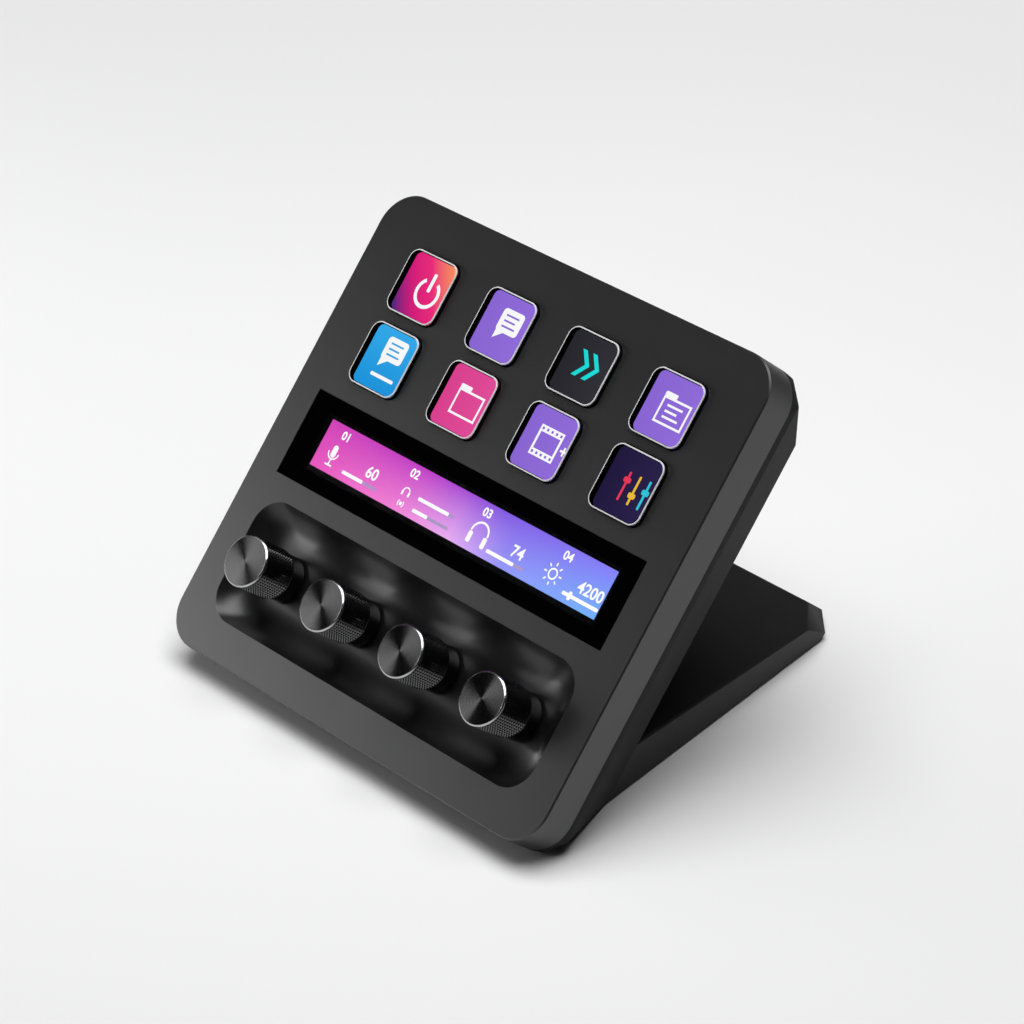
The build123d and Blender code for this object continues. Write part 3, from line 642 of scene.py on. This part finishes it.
def key_pictures():
    """Lit picture under each clear cap: a ground of its own colours with a generic icon on it."""
    dawn = [(0.0, srgb(88, 40, 130)), (0.3, srgb(215, 30, 125)), (0.62, srgb(240, 45, 125)),
            (1.0, srgb(255, 150, 90))]
    violet = [(0.0, srgb(140, 104, 214)), (1.0, srgb(148, 110, 222))]
    charcoal = [(0.0, srgb(40, 40, 46)), (1.0, srgb(50, 50, 56))]
    sky = [(0.0, srgb(30, 150, 222)), (1.0, srgb(52, 172, 238))]
    pink = [(0.0, srgb(222, 66, 145)), (1.0, srgb(230, 78, 156))]
    night = [(0.0, srgb(34, 26, 62)), (1.0, srgb(44, 34, 76))]
    white = [plain_glow("screen_white", srgb(250, 250, 252), 1.05)]
    cyan = [plain_glow("screen_cyan", srgb(30, 225, 220))]
    bright = [plain_glow("screen_red", srgb(235, 60, 90)), plain_glow("screen_amber", srgb(240, 190, 60)),
              plain_glow("screen_teal", srgb(50, 200, 220))]
    key_designs = [                # name, ground, its angle and span, icon, shift of the icon, its colours
        ("dawn", dawn, 35, 20.0, power_icon(), (1.3, -0.4), white),
        ("violet", violet, 0, 16.0, bubble_icon(), (1.3, 1.1), white),
        ("charcoal", charcoal, 0, 16.0, chevron_icon(), (0.8, 0.6), cyan),
        ("violet_list", violet, 0, 16.0, folder_list_icon(), (1.3, -0.3), white),
        ("sky", sky, 90, 16.0, bubble_bar_icon(), (0.9, 2.5), white),
        ("pink", pink, 0, 16.0, folder_icon(), (1.2, -0.3), white),
        ("violet_film", violet, 0, 16.0, film_icon(), (1.2, -0.1), white),
        ("night", night, 0, 16.0, slider_icon(), (2.0, -0.6), bright),
    ]
    middle = (PICTURE_LEFT + PICTURE_RIGHT) / 2
    field = (bar(middle, 0, PICTURE_RIGHT - PICTURE_LEFT, PICTURE_HEIGHT, PICTURE_CORNER, 8), 0, 0)
    for number, (place, design) in enumerate(zip(key_places(), key_designs), start=1):
        name, stops, angle, span, icon, shift, inks = design
        ground = glowing(f"screen_{name}", stops, math.radians(angle), span)
        film = on_face(*place, KEY_SEAT_Z + ICON_LIFT)
        icon = placed(icon, shift, ICON_SCALE)
        picture = drawing(f"key_picture_{number}", [field, *icon], [ground, *inks], film)
        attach(picture, f"key_{number}")


# ---- touch strip pictures ---------------------------------------------------------------
def microphone_icon():
    """Microphone on its stand."""
    return [bar(0, 1.2, 1.7, 3.4, 0.8), band(0, 0.9, 2.0, 1.6, 180, 360), bar(0, -1.8, 0.45, 1.4),
            bar(0, -2.6, 2.6, 0.45)]


def pair_icon():
    """Small headphones over a small loudspeaker's waves."""
    return [band(0, 1.3, 1.3, 0.95, 0, 180), bar(-1.15, 0.8, 0.65, 1.2), bar(1.15, 0.8, 0.65, 1.2),
            disc(0, -2.0, 0.5), band(0, -2.0, 1.15, 0.85, -50, 50), band(0, -2.0, 1.15, 0.85, 130, 230)]


def headphone_icon():
    """Headphones."""
    return [band(0, 0.4, 3.2, 2.65, 0, 180), bar(-2.6, -1.3, 1.4, 3.0, 0.5), bar(2.6, -1.3, 1.4, 3.0, 0.5)]


def lamp_icon():
    """Ring with eight rays."""
    rays = []
    for step in range(8):
        angle = math.tau * step / 8
        inner, outer = [(reach * math.cos(angle), reach * math.sin(angle)) for reach in (2.1, 3.0)]
        rays.append(stroke(inner, outer, 0.4))
    return [band(0, 0, 1.55, 1.1, 0, 360), *rays]


def level(x, y, length, share):
    """Level bar: a white part and a paler rest."""
    filled = length * share
    return [(bar(x + filled / 2, y, filled, 0.95, 0.3), 1, 1),
            (bar(x + filled + (length - filled) / 2, y, length - filled, 0.8), 2, 1)]


def digits(text, x, y, height, material, name):
    """Plain numbers, centred at a place of the strip."""
    curve = bpy.data.curves.new(name, "FONT")
    curve.body = text
    curve.size = height * FONT_SIZE * MM
    curve.align_x = "CENTER"
    curve.align_y = "CENTER"
    curve.resolution_u = 4
    curve.offset = DIGIT_WEIGHT * MM
    written = bpy.data.objects.new(name, curve)
    mesh = bpy.data.meshes.new_from_object(written)
    bpy.data.objects.remove(written)
    mesh.materials.clear()
    mesh.materials.append(material)
    place = on_face(STRIP_SHIFT[0] + x, STRIP_Y + STRIP_SHIFT[1] + y, STRIP_PICTURE_Z + 2 * ICON_LIFT)
    piece = add_object(name, mesh, place)
    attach(piece, "base")


def share_across(tree, value, width):
    """0 to 1 from one edge of a lit area to the other."""
    node = tree.nodes.new("ShaderNodeMapRange")
    node.inputs["From Min"].default_value = -width / 2 * MM
    node.inputs["From Max"].default_value = width / 2 * MM
    tree.links.new(value, node.inputs["Value"])
    return node.outputs["Result"]


def strip_ground():
    """Lit area of the strip: magenta to violet to blue along it, paler towards the lower edge."""
    material, tree, output = new_material("screen_strip")
    source = tree.nodes.new("ShaderNodeTexCoord")
    split = tree.nodes.new("ShaderNodeSeparateXYZ")
    tree.links.new(source.outputs["Object"], split.inputs["Vector"])
    along = share_across(tree, split.outputs["X"], STRIP_WINDOW[0])
    up = share_across(tree, split.outputs["Y"], STRIP_WINDOW[1])
    upper = ramp(tree, along, [
        (0.0, srgb(206, 68, 180)), (0.35, srgb(190, 64, 196)), (0.62, srgb(130, 90, 222)),
        (1.0, srgb(134, 128, 246))])
    lower = ramp(tree, along, [
        (0.0, srgb(232, 88, 188)), (0.3, srgb(240, 130, 210)), (0.5, srgb(230, 172, 238)),
        (0.68, srgb(150, 152, 246)), (1.0, srgb(112, 178, 252))])
    mix = tree.nodes.new("ShaderNodeMix")
    mix.data_type = "RGBA"
    tree.links.new(up, mix.inputs["Factor"])
    tree.links.new(lower, mix.inputs[6])
    tree.links.new(upper, mix.inputs[7])
    shine(tree, output, mix.outputs[2], STRIP_GLOW)
    return material


def strip_picture():
    """What the strip shows: four zones, each with its number, an icon and levels, most with a value."""
    ground = strip_ground()
    white = plain_glow("strip_white", srgb(252, 252, 254), STRIP_GLOW * 1.05)
    pale = plain_glow("strip_pale", srgb(172, 152, 196), STRIP_GLOW)
    middles = spaced(STRIP_ZONES, STRIP_WINDOW[0] / STRIP_ZONES)
    shapes = [(bar(0, 0, *STRIP_WINDOW), 0, 0)]
    icons = [(microphone_icon(), -7.6, -1.9), (pair_icon(), -6.0, -2.3), (headphone_icon(), -4.8, -1.9),
             (lamp_icon(), -4.6, -1.5)]
    for middle, (icon, x, y) in zip(middles, icons):
        shapes += placed(layered(icon, 1, 1), (middle + x, y), 1.0)
    levels = [                     # zone, start, height over the lowest line, length, filled share
        (0, -2.1, 0.0, LEVEL_LENGTH, 0.6),
        (1, -1.4, 3.3, LEVEL_LENGTH, 0.86),
        (1, -1.4, 0.0, LEVEL_LENGTH, 0.42),
        (2, -0.3, 0.0, LEVEL_LENGTH, 0.74),
        (3, 0.6, 0.0, LEVEL_LENGTH - 0.8, 1.0),
    ]
    for index, x, lift, length, share in levels:
        shapes += level(middles[index] + x, LEVEL_Y + lift, length, share)
    shapes.append((bar(middles[3] + 3.2, LEVEL_Y, 1.1, 2.3, 0.4), 1, 2))
    picture = drawing("strip_picture", shapes, [ground, white, pale],
                      on_face(STRIP_SHIFT[0], STRIP_Y + STRIP_SHIFT[1], STRIP_PICTURE_Z))
    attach(picture, "base")
    labels = (                     # place of the zone's own number, its value, place of the value
        (-6.2, "60", 7.5), (-6.1, "", 0), (-5.4, "74", 9.1), (-2.7, "4200", 8.6),
    )
    for index, (middle, (title, text, shift)) in enumerate(zip(middles, labels), start=1):
        digits(f"{index:02}", middle + title, TITLE_Y, TITLE_HEIGHT, white, f"strip_zone_{index}")
        if text:
            digits(text, middle + shift, NUMBER_Y, NUMBER_HEIGHT, white, f"strip_number_{index}")


def strip_mask(black):
    """Black print on the underside of the glass, with a window for the lit area."""
    bm = bmesh.new()
    window = [side + 2 * STRIP_MASK_MARGIN for side in STRIP_WINDOW]
    outside, inside = [[bm.verts.new((x * MM, y * MM, 0)) for x, y in bar(0, 0, *size)]
                       for size in (STRIP_GLASS, window)]
    for index in range(len(outside)):
        after = (index + 1) % len(outside)
        bm.faces.new((outside[index], outside[after], inside[after], inside[index]))
    mask = object_from("strip_print", bm, [black], on_face(0, STRIP_Y, STRIP_GLASS_BOTTOM + STRIP_MASK_LIFT))
    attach(mask, "base")


# ---- pieces that stand for CAD nodes ----------------------------------------------------
def bevelled_rings(size, corner, low, high, edge, steps=4):
    """Straight side, then a rounded edge up to the top."""
    rings = [(low, rounded_outline(size, size, corner)), (high - edge, rounded_outline(size, size, corner))]
    for step in range(1, steps + 1):
        angle = math.pi / 2 * step / steps
        inset = edge * (1 - math.cos(angle))
        height = high - edge + edge * math.sin(angle)
        rings.append((height, rounded_outline(size - 2 * inset, size - 2 * inset, corner - inset)))
    return rings


def make_clear_cap(number, place, clear, inside, rim):
    """Clear key: a block with its seat, a plate with rounded edges over it, and a rim painted pale as a
    highlight.
    """
    bm = bmesh.new()
    seat = rounded_outline(KEY_SEAT, KEY_SEAT, BLOCK_CORNER)
    block = rounded_outline(KEY_BLOCK, KEY_BLOCK, BLOCK_CORNER)
    rings = [(KEY_SEAT_Z, seat), (KEY_BLOCK_BOTTOM, seat),
             (KEY_BLOCK_BOTTOM, block), (KEY_PLATE_BOTTOM, block)]
    rings += bevelled_rings(KEY_SIZE, KEY_CORNER, KEY_PLATE_BOTTOM, KEY_TOP, KEY_EDGE)
    top = KEY_SIZE - 2 * (KEY_EDGE + KEY_HIGHLIGHT_RIM)
    rings.append((KEY_TOP, rounded_outline(top, top, KEY_CORNER - KEY_EDGE - KEY_HIGHLIGHT_RIM)))
    add_rings(bm, rings)
    for face in bm.faces:
        middle = face.calc_center_median()
        # the rounded edge and the border inside it take the rim material, a painted highlight
        on_rim = middle.z > (KEY_TOP - KEY_EDGE) * MM and middle.xy.length > KEY_SIZE / 4 * MM
        face.material_index = 1 if middle.z < (KEY_PLATE_BOTTOM + 0.01) * MM else 2 if on_rim else 0
    cap = object_from(f"clear_cap_{number}", bm, [clear, inside, rim], on_face(*place), 40)
    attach(cap, f"key_{number}")
    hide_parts(f"keycap_{number}")


def make_key_skirt(number, place, black):
    """Black skirt round a key's block, with the flange that holds the key in the housing."""
    bm = bmesh.new()
    inner = rounded_outline(KEY_BLOCK + 2 * KEY_FIT, KEY_BLOCK + 2 * KEY_FIT, BLOCK_CORNER)
    outer = rounded_outline(KEY_SKIRT, KEY_SKIRT, KEY_CORNER)
    flange = rounded_outline(KEY_FLANGE, KEY_FLANGE, KEY_CORNER)
    top = KEY_PLATE_BOTTOM - KEY_PLATE_GAP
    add_rings(bm, [(KEY_SKIRT_BOTTOM, inner), (top, inner), (top, outer), (KEY_FLANGE_TOP, outer),
                   (KEY_FLANGE_TOP, flange), (KEY_SKIRT_BOTTOM, flange), (KEY_SKIRT_BOTTOM, inner)],
              closed_low=False, closed_high=False)
    bmesh.ops.remove_doubles(bm, verts=bm.verts, dist=1e-7)
    skirt = object_from(f"black_skirt_{number}", bm, [black], on_face(*place), 40)
    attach(skirt, f"key_{number}")
    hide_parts(f"key_skirt_{number}")


def make_keys(clear, black, inside, rim):
    """Keys, each a clear cap in its black skirt."""
    for number, place in enumerate(key_places(), start=1):
        make_clear_cap(number, place, clear, inside, rim)
        make_key_skirt(number, place, black)


def knurl_rows():
    """Square knurl: small pyramids between grooves along the dial and grooves round it."""
    count = 2 * KNURL_COUNT
    steps = 2 * KNURL_ROWS
    rows = []
    for step in range(steps + 1):
        height = KNURL_LOW + (CAP_BOTTOM - KNURL_LOW) * step / steps
        points = []
        for index in range(count):
            tip = index % 2 == 1 and step % 2 == 1
            radius = DIAL_RADIUS - KNURL_INSET - (0 if tip else KNURL_DEPTH)
            angle = math.tau * index / count
            points.append((radius * math.cos(angle), radius * math.sin(angle)))
        rows.append((height, points))
    return rows


def make_grip(number, place, grip):
    """Knurled sleeve of a dial over its plain skirt."""
    bm = bmesh.new()
    count = 2 * KNURL_COUNT
    skirt = [(SKIRT_BOTTOM, circle(SKIRT_RADIUS - SKIRT_BEVEL, count)),
             (SKIRT_BOTTOM + SKIRT_BEVEL, circle(SKIRT_RADIUS, count)),
             (KNURL_LOW - SKIRT_FLARE[0], circle(SKIRT_RADIUS, count)),
             (KNURL_LOW - SKIRT_FLARE[1], circle(DIAL_RADIUS - KNURL_DEPTH, count))]
    rows = add_rings(bm, skirt + knurl_rows())[len(skirt):]
    for step, (low, high) in enumerate(zip(rows, rows[1:])):
        for index in range(count):
            after = (index + 1) % count
            if (index + step) % 2 == 0:            # a pyramid's ridge runs from its tip to a groove crossing
                start, end = low[index], high[after]
            else:
                start, end = low[after], high[index]
            bmesh.utils.face_split(next(face for face in start.link_faces if end in face.verts), start, end)
    sleeve = object_from(f"knurled_grip_{number}", bm, [grip], on_face(*place), 20)
    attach(sleeve, f"dial_{number}")
    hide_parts(f"dial_sleeve_{number}")


def make_cap(number, place, cap_face, polished):
    """Spun cap of a dial: a dished flat face inside a polished bevel."""
    bm = bmesh.new()
    face_height = DIAL_TOP - CAP_DISH
    bevel_inside = DIAL_RADIUS - CAP_RIM
    profile = [                    # underside, side, bevel, step down to the face, small centre mark
        (CAP_BOTTOM, DIAL_RADIUS - 0.25), (CAP_BOTTOM + 0.05, DIAL_RADIUS - 0.02),
        (DIAL_TOP - CAP_RIM, DIAL_RADIUS), (DIAL_TOP - CAP_RIM + 0.06, DIAL_RADIUS - 0.03),
        (DIAL_TOP - 0.05, bevel_inside + 0.03), (DIAL_TOP, bevel_inside - 0.05),
        (face_height, bevel_inside - 0.15), (face_height, 3.0), (face_height, 0.4),
        (face_height - 0.02, 0.05),
    ]
    add_rings(bm, [(height, circle(radius, CAP_SIDES)) for height, radius in profile])
    for face in bm.faces:
        on_rim = face.calc_center_median().xy.length > (bevel_inside - 0.1) * MM
        face.material_index = 1 if on_rim else 0
    cap = object_from(f"spun_cap_{number}", bm, [cap_face, polished], on_face(*place), 30)
    for polygon in cap.data.polygons:
        if polygon.material_index == 0:
            polygon.use_smooth = False
    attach(cap, f"dial_{number}")
    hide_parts(f"dial_cap_{number}")


def make_dials(grip, cap_face, polished):
    """Dials, each a knurled sleeve under its spun cap."""
    for number, place in enumerate(dial_places(), start=1):
        make_grip(number, place, grip)
        make_cap(number, place, cap_face, polished)


# ---- CAD nodes --------------------------------------------------------------------------
def finish_node(piece, material, edge):
    """Give a CAD node its material, shading by angle and, where it has one, a small broken edge."""
    piece.data.materials.clear()
    piece.data.materials.append(material)
    piece.data.polygons.foreach_set("use_smooth", [True] * len(piece.data.polygons))
    weld = piece.modifiers.new("weld", "WELD")
    weld.merge_threshold = WELD_GAP * MM
    if edge:
        flat = piece.modifiers.new("flat", "DECIMATE")
        flat.decimate_type = "DISSOLVE"
        flat.angle_limit = math.radians(0.5)
        bevel = piece.modifiers.new("edge", "BEVEL")
        bevel.width = edge * MM
        bevel.segments = 2
        bevel.limit_method = "ANGLE"
        bevel.angle_limit = math.radians(HARD_ANGLE)
        bevel.use_clamp_overlap = True
        even = piece.modifiers.new("even", "WEIGHTED_NORMAL")
        even.weight = 80
    else:
        hard = piece.modifiers.new("hard", "EDGE_SPLIT")
        hard.split_angle = math.radians(HARD_ANGLE)
        hard.use_edge_sharp = False


def dress_nodes(nodes, looks):
    """Finish each node by its name without its number."""
    for name, piece in nodes.items():
        material, edge = looks[name.rstrip("0123456789").rstrip("_")]
        finish_node(piece, material, edge)


def make_looks():
    """Material and width of the broken edge for each kind of CAD node."""
    housing = housing_plastic("housing_plastic")
    cover = grained("cover_plastic", grey(0.020), grey(0.024), 0.65, 4.0, 0.003, specular=0.05)
    foot = grained("foot_plastic", grey(0.011), grey(0.013), 0.5, 4.0, 0.003, specular=0.22)
    inner = grained("inner_plastic", grey(0.010, 0.001), grey(0.014, 0.001), 0.5, 3.0, 0.01)
    screen = grained("screen_panel", grey(0.003, 0.001), grey(0.005, 0.001), 0.2, 1.0, 0.0)
    glass = clear_plastic("strip_cover_glass", grey(0.93, 0.02), 0.0)
    rubber = grained("pad_rubber_grain", grey(0.012), grey(0.018), 0.8, 2.0, 0.02)
    white_rubber = grained("membrane_rubber_grain", grey(0.30, 0.01), grey(0.36, 0.01), 0.7, 2.0, 0.02)
    steel = grained("sheet_steel_grain", grey(0.50, 0.01), grey(0.60, 0.01), 0.35, 1.5, 0.004, metallic=1.0)
    board = grained("solder_mask", (0.012, 0.07, 0.03), (0.02, 0.10, 0.045), 0.4, 1.5, 0.01)
    plunger = grained("plunger_nylon", grey(0.65, -0.03), grey(0.75, -0.03), 0.5, 2.0, 0.01)
    looks = {
        "faceplate": housing, "rear_cover": cover, "foot": foot,
        "base_plate": inner, "base_pad": rubber, "front_pad": rubber,
        "strip_glass": glass, "strip_display": screen, "key_display": screen, "display_bracket": steel,
        "keycap": glass, "key_skirt": inner, "key_guide": inner, "key_membrane": white_rubber,
        "dial_sleeve": inner, "dial_cap": inner, "dial_shaft": steel,
        "push_plunger": plunger, "encoder_body": inner,
        "main_board": board, "usb_board": board, "usb_port": steel,
        "board_screws": steel, "foot_screws": steel,
    }
    edges = {"rear_cover": 0.35, "base_pad": 0.3, "front_pad": 0.3}
    return {name: (material, edges.get(name, 0.0)) for name, material in looks.items()}


# ---- studio -----------------------------------------------------------------------------
def aim(thing, place, target):
    """Put a lamp at a place, its light towards the target."""
    thing.location = Vector(place) * MM
    direction = (Vector(target) - Vector(place)).normalized()
    thing.rotation_mode = "QUATERNION"
    thing.rotation_quaternion = direction.to_track_quat("-Z", "Y")


def area_light(name, place, target, width, height, power):
    """One rectangular lamp."""
    data = bpy.data.lights.new(name, "AREA")
    data.shape = "RECTANGLE"
    data.size = width * MM
    data.size_y = height * MM
    data.energy = power
    light = bpy.data.objects.new(name, data)
    bpy.context.scene.collection.objects.link(light)
    aim(light, place, target)


def make_studio():
    """Floor, lamps, and a surround that looks pale to the camera but gives hardly any light."""
    bm = bmesh.new()
    half = FLOOR_HALF * MM
    bm.faces.new([bm.verts.new((x * half, y * half, 0)) for x, y in ((-1, -1), (1, -1), (1, 1), (-1, 1))])
    floor = object_from("studio_floor", bm, [floor_material()], Matrix.Identity(4))
    for lamp in LAMPS:
        area_light(*lamp)
    world = bpy.data.worlds.new("studio")
    bpy.context.scene.world = world
    world.use_nodes = True
    tree = world.node_tree
    ground = tree.nodes["Background"]
    ground.inputs["Color"].default_value = (1, 1, 1, 1)
    seen = tree.nodes.new("ShaderNodeLightPath").outputs["Is Camera Ray"]
    strength = math_node(tree, "MULTIPLY_ADD", seen, BACKDROP - SURROUND, SURROUND)
    tree.links.new(strength, ground.inputs["Strength"])
    bpy.context.scene.view_settings.view_transform = "Standard"


def make_camera():
    """Camera fitted to the photograph's view."""
    data = bpy.data.cameras.new("photo_camera")
    data.sensor_width = SENSOR
    data.lens = FOCAL_PIXELS / PHOTO_PIXELS * SENSOR
    data.clip_start = 0.01
    right = Vector(CAMERA_RIGHT).normalized()
    up = Vector(CAMERA_UP).normalized()
    back = right.cross(up)
    turn = Matrix((right, up, back)).transposed().to_4x4()
    place = Matrix.Translation(Vector(CAMERA_PLACE) * MM) @ turn
    bpy.context.scene.camera = add_object("photo_camera", data, place)


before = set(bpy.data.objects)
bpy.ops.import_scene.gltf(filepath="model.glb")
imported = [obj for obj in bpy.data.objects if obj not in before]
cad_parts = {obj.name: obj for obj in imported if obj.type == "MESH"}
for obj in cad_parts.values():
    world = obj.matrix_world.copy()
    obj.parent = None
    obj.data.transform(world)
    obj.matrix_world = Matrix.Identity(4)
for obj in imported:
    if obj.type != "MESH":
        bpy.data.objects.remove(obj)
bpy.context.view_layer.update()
dress_nodes(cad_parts, make_looks())
skirt_plastic = grained("skirt_plastic", grey(0.003), grey(0.005), 0.35, 3.0, 0.004)
key_pictures()
strip_picture()
strip_mask(grained("black_print", grey(0.0), grey(0.0005), 0.8, 3.0, 0.0, specular=0.0))
make_keys(clear_plastic("key_cap_clear", (0.97, 0.975, 0.985), 0.0), skirt_plastic,
          grained("key_inside", grey(0.0), grey(0.001), 0.8, 3.0, 0.0, specular=0.0),
          # pale grey rim: a painted highlight on the clear caps' edges
          grained("key_rim_painted_highlight", grey(0.62, 0.02), grey(0.70, 0.02), 0.25, 2.0, 0.0))
make_dials(grained("knurl_anodised", grey(0.09, 0.002), grey(0.11, 0.002), 0.15, 4.0, 0.0, metallic=1.0),
           spun_metal("cap_spun", grey(0.10), grey(0.15), 0.2, 0.97),
           grained("cap_rim", grey(0.45, 0.01), grey(0.55, 0.01), 0.18, 3.0, 0.0, metallic=1.0))
make_studio()
make_camera()
